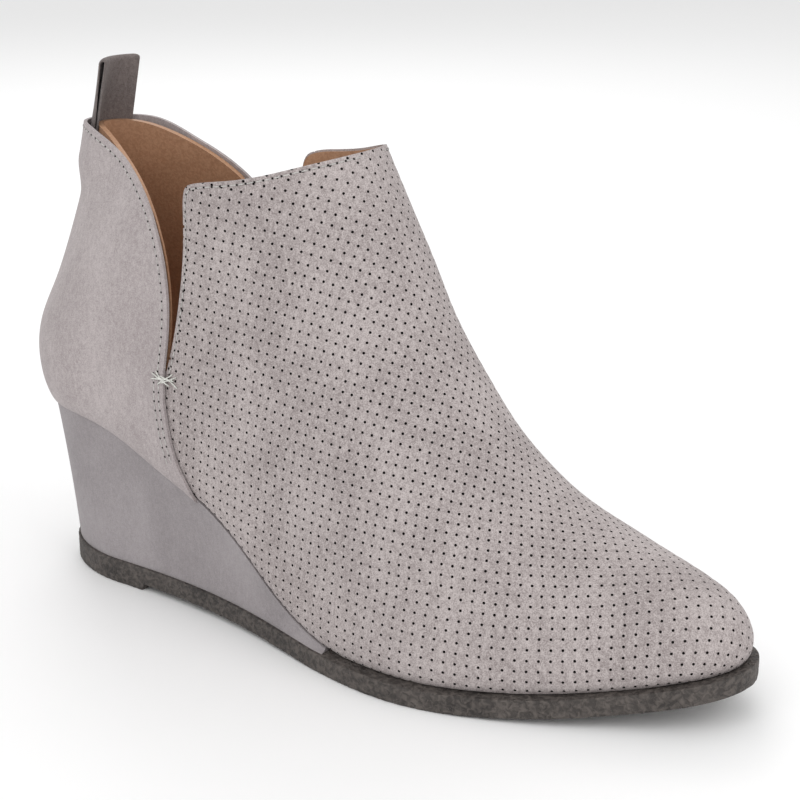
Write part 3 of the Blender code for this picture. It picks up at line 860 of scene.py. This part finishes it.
def make_outsole(materials):
    """Outsole with its heel pad and step, and pebbled along its side."""
    steps = 380
    ends = SOLE_LENGTH * (1 - np.cos(np.linspace(0, math.pi, steps + 1))) / 2
    marks = (HEEL_PAD_LENGTH, HEEL_PAD_LENGTH + HEEL_PAD_STEP)
    sections = []
    for x in sorted([*ends, *marks]):
        half = float(sole_half_width(x))
        low, high = float(outsole_bottom(x)), float(outsole_top(x))
        inset = min(SOLE_EDGE, half)
        rows = []
        for across in np.linspace(0.1, 1, 8):
            rows.append(((half - inset) * across, low))
        rows.append((half - 0.3 * inset, low + 0.3 * SOLE_EDGE))
        for up in np.linspace(0, 1, 9):
            rows.append((half, low + SOLE_EDGE + (high - low - 1.6 * SOLE_EDGE) * up))
        rows.append((half - 0.25 * inset, high - 0.1 * SOLE_EDGE))
        rows.append((max(half - 1.5 * inset, 0), high))
        outer = [(x, centre(x) - reach, z) for reach, z in rows]
        inner = [(x, centre(x) + reach, z) for reach, z in rows]
        sections.append(outer + inner[::-1])
    bm = tube_mesh(sections)
    bm.normal_update()
    for vertex in bm.verts:
        if abs(vertex.normal.z) < 0.8:
            pebble = sum(share * noise.noise(vertex.co * scale) for scale, share in PEBBLES)
            vertex.co += vertex.normal * pebble * PEBBLE_HEIGHT
    return to_object("outsole_rubber", bm, materials)


INSOLE_HOLLOW = 0.0005


def make_insole(materials):
    """Footbed inside the upper, slightly hollow across."""
    steps = 80
    turn = np.linspace(0, math.pi, steps + 1)
    line = last_point(np.zeros_like(turn), turn)
    outer, inner = feather_chains(-UPPER_WALL - SEAT_GAP, steps)
    sections = []
    for low, high in zip(outer, inner):
        z = np.interp(low[0], line[:, 0], line[:, 2])
        across = np.linspace(0, 1, 13)[:, None]
        top = low + (high - low) * across
        hollow = INSOLE_HOLLOW * np.sin(math.pi * across[:, 0])
        upper = np.column_stack([top, z + INSOLE_THICKNESS - hollow])
        under = np.column_stack([top, np.full(13, z)])
        sections.append(np.concatenate([under, upper[::-1]]))
    return to_object("insole_leather", tube_mesh(sections), materials)


def back_of_last(y, z):
    """Places along X of the back of the last, off its middle, at given heights."""
    start = back_line(z)
    middle = last_centre(start, z)

    def outside(x):
        return last_half_width(x, z) - abs(y - middle)

    return solve(outside, start, start + 0.15 * SOLE_LENGTH)


def make_pull_loop(materials):
    """Folded strip: up outside, round the fold and down again, both legs under the quarter."""
    first = SEAT_GAP + LOOP_STRIP / 2
    second = first + LOOP_STRIP + LOOP_SLOT
    rises = np.linspace(0.05, 0.95, 13)
    path = [(first, -LOOP_LEG * share) for share in np.linspace(1, 0, 6)]
    path += [(first - share * LOOP_GAPE / 2, share * LOOP_FOLD) for share in rises]
    middle = (first + second) / 2
    radius = (second - first + LOOP_GAPE) / 2
    path += [(middle - radius * math.cos(a), LOOP_FOLD + radius * math.sin(a))
             for a in np.linspace(0, math.pi, 13)]
    path += [(second + share * LOOP_GAPE / 2, share * LOOP_FOLD) for share in rises[::-1]]
    path += [(second, -LOOP_LEG * share) for share in np.linspace(0, 1, 6)]
    path = np.array(path)
    along = np.gradient(path, axis=0)
    away = np.stack([-along[:, 1], along[:, 0]], 1)
    away /= np.linalg.norm(away, axis=1, keepdims=True)
    sections = []
    for share_y in np.sin(np.linspace(-math.pi / 2, math.pi / 2, 25)):
        y = share_y * LOOP_WIDTH / 2
        thick = LOOP_STRIP / 2 * max(0.35, (1 - abs(share_y) ** 14) ** 0.5)
        band = np.concatenate([path + away * thick, (path - away * thick)[::-1]])
        out, up = band.T
        z = COLLAR_HEIGHT + up
        share = np.maximum(up, 0) / LOOP_FOLD
        seat = back_of_last(y, np.minimum(z, COLLAR_HEIGHT))
        level = float(back_line(COLLAR_HEIGHT))
        x = seat + (level - seat) * 0.5 * np.minimum(share, 1) + LOOP_LEAN * share - out
        sections.append(np.stack([x, np.full_like(x, y), z], 1))
    return to_object("loop_suede", tube_mesh(sections), materials)


# Finishes: each effect is a group with a colour, a roughness and a height, one group a family
def new_group(name, inputs):
    """Empty group with the given inputs and the three outputs that every finish takes."""
    colour = "NodeSocketColor"
    number = "NodeSocketFloat"
    group = bpy.data.node_groups.new(name, "ShaderNodeTree")
    for label in ("Dark", "Light"):
        group.interface.new_socket(label, in_out="INPUT", socket_type=colour)
    for label in inputs:
        group.interface.new_socket(label, in_out="INPUT", socket_type=number)
    for label, kind in (("Color", colour), ("Roughness", number), ("Height", number)):
        group.interface.new_socket(label, in_out="OUTPUT", socket_type=kind)
    return group, group.nodes.new("NodeGroupInput"), group.nodes.new("NodeGroupOutput")


def noise_node(group, source, scale, detail, roughness=0.5, stretch=None):
    """Noise over a position, which may be stretched first."""
    node = group.nodes.new("ShaderNodeTexNoise")
    node.inputs["Scale"].default_value = scale
    node.inputs["Detail"].default_value = detail
    node.inputs["Roughness"].default_value = roughness
    if stretch:
        mapping = group.nodes.new("ShaderNodeMapping")
        mapping.inputs["Scale"].default_value = stretch
        group.links.new(source, mapping.inputs["Vector"])
        source = mapping.outputs["Vector"]
    group.links.new(source, node.inputs["Vector"])
    return node.outputs["Fac"]


def spread(group, value, low, high, to_low=0.0, to_high=1.0):
    """Maps a range of a value onto another, and holds it there."""
    node = group.nodes.new("ShaderNodeMapRange")
    node.inputs["From Min"].default_value = low
    node.inputs["From Max"].default_value = high
    node.inputs["To Min"].default_value = to_low
    node.inputs["To Max"].default_value = to_high
    group.links.new(value, node.inputs["Value"])
    return node.outputs["Result"]


def arith(group, kind, one, two):
    node = group.nodes.new("ShaderNodeMath")
    node.operation = kind
    for socket, value in zip(node.inputs, (one, two)):
        if isinstance(value, (int, float)):
            socket.default_value = value
        else:
            group.links.new(value, socket)
    return node.outputs["Value"]


def blend(group, one, two, one_share):
    """Weighted sum of two values whose weights add up to 1."""
    first = arith(group, "MULTIPLY", one, one_share)
    return arith(group, "ADD", first, arith(group, "MULTIPLY", two, round(1 - one_share, 2)))


def swing(group, value, strength):
    """Value about its middle, times a strength."""
    return arith(group, "MULTIPLY", arith(group, "SUBTRACT", value, 0.5), strength)


def tint(group, given, share):
    """Colour between the group's dark and light colours."""
    node = group.nodes.new("ShaderNodeMix")
    node.data_type = "RGBA"
    dark, light = [socket for socket in node.inputs if socket.type == "RGBA"]
    group.links.new(share, node.inputs["Factor"])
    group.links.new(given.outputs["Dark"], dark)
    group.links.new(given.outputs["Light"], light)
    return next(socket for socket in node.outputs if socket.type == "RGBA")


def suede_group():
    """Nap of suede: fibre speckle, brushed patches and a fine rough height."""
    group, given, out = new_group("suede_nap", ("Speckle", "Patches"))
    where = group.nodes.new("ShaderNodeTexCoord").outputs["Object"]
    fibre = noise_node(group, where, 2600, 2.0, 0.7)
    tuft = noise_node(group, where, 900, 3.0, 0.6, (1.0, 1.0, 0.55))
    patch = noise_node(group, where, 55, 3.0, 0.55, (1.0, 1.0, 0.6))
    fine = spread(group, blend(group, fibre, tuft, 0.65), 0.36, 0.64)
    wide = spread(group, patch, 0.35, 0.65)
    speckle = swing(group, fine, given.outputs["Speckle"])
    level = arith(group, "ADD", speckle, swing(group, wide, given.outputs["Patches"]))
    share = spread(group, arith(group, "ADD", level, 0.5), 0.0, 1.0)
    group.links.new(tint(group, given, share), out.inputs["Color"])
    group.links.new(spread(group, fine, 0.0, 1.0, 0.86, 1.0), out.inputs["Roughness"])
    group.links.new(blend(group, fibre, tuft, 0.4), out.inputs["Height"])
    return group


def grain_group():
    """Grain of leather, rubber and thread: cells of one size, with soft patches."""
    group, given, out = new_group("grain", ("Scale", "Rough"))
    where = group.nodes.new("ShaderNodeTexCoord").outputs["Object"]
    cells = group.nodes.new("ShaderNodeTexNoise")
    cells.inputs["Detail"].default_value = 2.5
    cells.inputs["Distortion"].default_value = 0.6
    group.links.new(where, cells.inputs["Vector"])
    group.links.new(given.outputs["Scale"], cells.inputs["Scale"])
    fine = spread(group, cells.outputs["Fac"], 0.38, 0.62)
    patch = spread(group, noise_node(group, where, 70, 3.0), 0.35, 0.65)
    group.links.new(tint(group, given, blend(group, fine, patch, 0.7)), out.inputs["Color"])
    rough = arith(group, "ADD", given.outputs["Rough"], arith(group, "MULTIPLY", fine, 0.12))
    group.links.new(rough, out.inputs["Roughness"])
    group.links.new(fine, out.inputs["Height"])
    return group


def finish(name, group, values, bump, distance, sheen=0.0, specular=0.5):
    """Material from one group. The values are those of its inputs."""
    material = bpy.data.materials.new(name)
    material.use_nodes = True
    tree = material.node_tree
    shader = tree.nodes["Principled BSDF"]
    effect = tree.nodes.new("ShaderNodeGroup")
    effect.node_tree = group
    for label, value in values.items():
        effect.inputs[label].default_value = value if isinstance(value, float) else (*value, 1)
    tree.links.new(effect.outputs["Color"], shader.inputs["Base Color"])
    tree.links.new(effect.outputs["Roughness"], shader.inputs["Roughness"])
    raised = tree.nodes.new("ShaderNodeBump")
    raised.inputs["Strength"].default_value = bump
    raised.inputs["Distance"].default_value = distance
    tree.links.new(effect.outputs["Height"], raised.inputs["Height"])
    tree.links.new(raised.outputs["Normal"], shader.inputs["Normal"])
    shader.inputs["Sheen Weight"].default_value = sheen
    shader.inputs["Sheen Roughness"].default_value = 0.5
    shader.inputs["Specular IOR Level"].default_value = specular
    return material


def plain(name, colour, roughness):
    material = bpy.data.materials.new(name)
    material.use_nodes = True
    shader = material.node_tree.nodes["Principled BSDF"]
    shader.inputs["Base Color"].default_value = (*colour, 1)
    shader.inputs["Roughness"].default_value = roughness
    return material


SUEDE_NAP = suede_group()
GRAIN = grain_group()


def suede(name, dark, light, speckle, patches):
    """Suede between two colours, with the strengths of its speckle and its patches."""
    values = {"Dark": dark, "Light": light, "Speckle": speckle, "Patches": patches}
    return finish(name, SUEDE_NAP, values, 0.55, 0.25 * MM, 0.12, 0.15)


vamp_finish = suede("vamp_suede", (0.270, 0.232, 0.228), (0.515, 0.462, 0.452), 1.35, 0.30)
quarter_finish = suede("quarter_suede", (0.320, 0.280, 0.280), (0.500, 0.450, 0.448), 1.05, 0.34)
wedge_finish = suede("wedge_suede", (0.255, 0.232, 0.238), (0.365, 0.335, 0.342), 0.75, 0.45)
loop_finish = suede("loop_suede", (0.105, 0.088, 0.084), (0.225, 0.190, 0.182), 0.90, 0.35)


def grained(name, dark, light, scale, rough, bump, distance):
    """Grained material between two colours, with the grain's scale, roughness and relief."""
    values = {"Dark": dark, "Light": light, "Scale": scale, "Rough": rough}
    return finish(name, GRAIN, values, bump, distance * MM)


# Near-black painted shade for the walls and bottoms of the vamp's pinholes and for the needle
# holes of the stitching.
hole_painted_shade = grained(
    "punched_hole_painted_shade", (0.004, 0.003, 0.003), (0.016, 0.012, 0.011), 900.0, 0.85, 0.3, 0.1)
lining_finish = grained(
    "lining_leather", (0.40, 0.215, 0.122), (0.52, 0.300, 0.180), 1100.0, 0.52, 0.25, 0.12)
rubber_finish = grained(
    "sole_rubber", (0.026, 0.021, 0.019), (0.115, 0.098, 0.088), 640.0, 0.62, 0.8, 0.5)
thread_finish = grained(
    "thread", (0.34, 0.32, 0.31), (0.56, 0.54, 0.52), 1500.0, 0.62, 0.4, 0.1)
bartack_finish = grained(
    "bartack_thread", (0.50, 0.50, 0.46), (0.74, 0.74, 0.70), 1500.0, 0.55, 0.4, 0.1)


# Stitching: pitch, half the thread's width, half a needle hole's width, and rows' distances
STITCH_PITCH = 0.0027
STITCH_SHARE = 0.86
THREAD = 0.00025
NEEDLE_HOLE = 0.00038
NEEDLE_HOLE_HEIGHT = 0.0001
RIM_ROW = 0.0020
SEAM_ROWS = (0.0017, 0.0037)
SEAM_ROWS_END = 0.345 * COLLAR_HEIGHT
VAMP_ROW = 0.0013
VAMP_ROW_END = 0.0008


def on_last(path, side, offset):
    """Places and normals on the last for points seen from the side. side is -1 for outer."""
    x, z = path[:, 0], path[:, 1]
    level = (z - feather(x)) / (SHELL_TOP - feather(x))
    back = np.interp(level, LEVEL_TABLE, BACK_ENDS)
    front = np.interp(level, LEVEL_TABLE, FRONT_ENDS)
    turn = np.arccos(np.clip(1 - 2 * (x - back) / (front - back), -1, 1))
    turn = np.where(side > 0, 2 * math.pi - turn, turn)
    points, normals = last_point(level, turn), last_normal(level, turn)
    far = offset(points) if callable(offset) else offset
    return points + normals * far[:, None], normals


def inset_path(path, far):
    """A path seen from the side, moved to the right of its own direction."""
    along = np.gradient(path, axis=0)
    along /= np.linalg.norm(along, axis=1, keepdims=True)
    return path + far * np.stack([along[:, 1], -along[:, 0]], 1)


def even_steps(points, normals, pitch):
    """Places and normals at even distances along a path, as near the pitch as fits."""
    strides = np.linalg.norm(np.diff(points, axis=0), axis=1)
    distance = np.concatenate([[0], np.cumsum(strides)])
    count = max(int(distance[-1] / pitch), 1)
    at = np.linspace(0, distance[-1], count + 1)
    places = np.stack([np.interp(at, distance, points[:, i]) for i in range(3)], 1)
    faced = np.stack([np.interp(at, distance, normals[:, i]) for i in range(3)], 1)
    return places, faced / np.linalg.norm(faced, axis=1, keepdims=True)


def add_bead(bm, spot, along, normal, length, width, height, index=0):
    """Rounded bead lying along a direction, such as one stitch of thread."""
    along = Vector(along).normalized()
    across = Vector(normal).cross(along).normalized()
    out = along.cross(across)
    shape = Matrix((along * length / 2, across * width, out * height)).transposed().to_4x4()
    made = bmesh.ops.create_uvsphere(bm, u_segments=8, v_segments=5, radius=1,
                                     matrix=Matrix.Translation(spot) @ shape)
    for vertex in made["verts"]:
        for face in vertex.link_faces:
            face.material_index = index


def stitch_rows(name, rows, thread):
    """Rows of stitches, with a flat near-black bead of painted shade for the needle hole at each
    end of every stitch.
    """
    bm = bmesh.new()
    for points, normals in rows:
        places, faced = even_steps(points, normals, STITCH_PITCH)
        for i in range(len(places) - 1):
            along = places[i + 1] - places[i]
            middle = (places[i] + places[i + 1]) / 2 + faced[i] * THREAD * 0.25
            length = np.linalg.norm(along) * STITCH_SHARE
            add_bead(bm, middle, along, faced[i], length, THREAD, THREAD * 0.9)
            # Needle hole: a flat near-black bead of painted shade, lying on the surface.
            add_bead(bm, places[i], along, faced[i], NEEDLE_HOLE * 2, NEEDLE_HOLE,
                     NEEDLE_HOLE_HEIGHT, 1)
    return to_object(name, bm, [thread, hole_painted_shade], 60)


def make_quarter_stitching():
    """One row inside the quarter's rim, right round the back, and two rows beside each seam."""
    rim = inset_path(quarter_edge(), RIM_ROW)
    rim = rim[rim[:, 0] > 0.0505 * SOLE_LENGTH]
    outer, inner = (on_last(rim, side, quarter_face) for side in (-1, 1))
    rows = [[np.concatenate([a[::-1], b]) for a, b in zip(outer, inner)]]
    seam = side_seam()
    seam = seam[seam[:, 1] > SEAM_ROWS_END]
    seam = np.concatenate([[(0.254 * SOLE_LENGTH, 0.530 * COLLAR_HEIGHT)], seam])
    for far in SEAM_ROWS:
        for side in (-1, 1):
            rows.append(on_last(inset_path(seam, far), side, quarter_face))
    return stitch_rows("quarter_stitching", rows, thread_finish)


def make_vamp_stitching():
    """One row inside the vamp's edge on each side, as far as its front line."""
    line = inset_path(vamp_edge(), VAMP_ROW)
    line = line[line[:, 1] < front_line(line[:, 0]) - VAMP_ROW_END]
    rows = [on_last(line, side, vamp_relief) for side in (-1, 1)]
    return stitch_rows("vamp_stitching", rows, thread_finish)


# Bartack strands: start and end from the notch's bottom, along and up, in millimetres
BARTACK = (
    (-4.2, 1.6, 0.6, -0.4),
    (-4.6, -0.2, 0.8, 0.5),
    (-2.6, 2.4, 1.4, -1.8),
    (-1.8, -1.4, 2.6, 2.0),
    (-0.6, 1.2, 4.6, -1.8),
    (-0.4, -0.8, 4.2, 1.4),
    (-2.2, 0.6, 3.2, 0.0),
)
BARTACK_SPOT = (0.254 * SOLE_LENGTH + 0.2 * MM, 0.520 * COLLAR_HEIGHT)
BARTACK_THREAD = 0.00025
OVER_QUARTER = 0.00155
OVER_SUEDE = 0.00022


def make_bartacks():
    """Crossing strands that step down from the quarter onto the vamp, on both sides."""
    bm = bmesh.new()
    spot = np.array(BARTACK_SPOT)
    for side in (-1, 1):
        for start_x, start_z, end_x, end_z in BARTACK:
            start, end = spot + np.array([(start_x, start_z), (end_x, end_z)]) * MM
            path = np.linspace(start, end, 5)
            on_quarter = 1 - ease(path[:, 0], spot[0] - 0.3 * MM, spot[0] + 1.6 * MM)
            points, normals = on_last(path, side, OVER_QUARTER * on_quarter + OVER_SUEDE)
            for point, following, normal in zip(points, points[1:], normals):
                along = following - point
                add_bead(bm, (point + following) / 2, along, normal, np.linalg.norm(along) * 1.5,
                         BARTACK_THREAD, BARTACK_THREAD)
    return to_object("bartacks", bm, [bartack_finish], 60)


def dress(piece, slot, *nodes):
    """Attaches a piece to the root body and hides the nodes that it stands for. The slot is not
    used.
    """
    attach(piece, "root")
    if nodes:
        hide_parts(*nodes)


dress(make_vamp([vamp_finish, hole_painted_shade]), "vamp_suede", "upper")
dress(make_lining([lining_finish]), "lining", "upper")
dress(make_quarter([quarter_finish]), "quarter_suede", "quarter")
dress(make_wedge([wedge_finish]), "wedge_suede", "wedge")
dress(make_outsole([rubber_finish]), "rubber", "outsole")
dress(make_insole([lining_finish]), "lining", "insole")
dress(make_pull_loop([loop_finish]), "loop_suede", "pull_loop")
dress(make_quarter_stitching(), "quarter_suede")
dress(make_vamp_stitching(), "vamp_suede")
dress(make_bartacks(), "quarter_suede")


# Camera: the photograph's own view, fitted on a sole of a first, rough length
AZIMUTH = math.radians(33.94)
ELEVATION = math.radians(18.63)
FITTED_LENGTH = 0.249
FITTED_TARGET = (0.1385, -0.0137, 0.080)
FITTED_DISTANCE = 0.550
FOCAL_PIXELS = 1859.0
PICTURE_PIXELS = 800.0


def add_camera():
    flat = math.cos(ELEVATION)
    back = np.array([math.sin(AZIMUTH) * flat, -math.cos(AZIMUTH) * flat, math.sin(ELEVATION)])
    right = np.array([math.cos(AZIMUTH), math.sin(AZIMUTH), 0.0])
    up = np.cross(back, right)
    spot = np.array(FITTED_TARGET) + back * FITTED_DISTANCE
    place_at = spot * (SOLE_LENGTH / FITTED_LENGTH) + SHIFT
    data = bpy.data.cameras.new("camera")
    data.sensor_width = 36.0
    data.lens = FOCAL_PIXELS * data.sensor_width / PICTURE_PIXELS
    data.clip_start = 0.01
    camera = bpy.data.objects.new("camera", data)
    turn = Matrix([[right[i], up[i], back[i]] for i in range(3)]).to_4x4()
    camera.matrix_world = Matrix.Translation(place_at) @ turn
    bpy.context.scene.collection.objects.link(camera)
    bpy.context.scene.camera = camera


# Square lamps: name, place, size and power in watts. All of them look at the boot's middle
LAMPS = (
    ("key", (0.15, -0.9, 1.0), 0.9, 3.6),
    ("fill", (0.9, -0.1, 0.6), 0.7, 2.0),
    ("back", (-0.6, 0.7, 0.8), 0.7, 2.5),
)
LAMP_AIM = (0, 0, 0.05)


def add_light(name, spot, size, power):
    data = bpy.data.lights.new(name, "AREA")
    data.shape = "RECTANGLE"
    data.size = data.size_y = size
    data.energy = power
    lamp = bpy.data.objects.new(name, data)
    direction = Vector(LAMP_AIM) - Vector(spot)
    lamp.location = spot
    lamp.rotation_euler = direction.to_track_quat("-Z", "Y").to_euler()
    bpy.context.scene.collection.objects.link(lamp)


def add_studio():
    """Wide pale floor, even light from all round and three soft lamps."""
    bm = bmesh.new()
    bmesh.ops.create_grid(bm, x_segments=1, y_segments=1, size=40.0)
    floor = to_object("floor", bm, [plain("floor", (0.98, 0.98, 0.98), 0.6)])
    world = bpy.data.worlds.new("studio")
    world.use_nodes = True
    background = world.node_tree.nodes["Background"]
    background.inputs["Color"].default_value = (1, 1, 1, 1)
    background.inputs["Strength"].default_value = 0.80
    bpy.context.scene.world = world
    for lamp in LAMPS:
        add_light(*lamp)
    bpy.context.scene.view_settings.view_transform = "Standard"


add_camera()
add_studio()
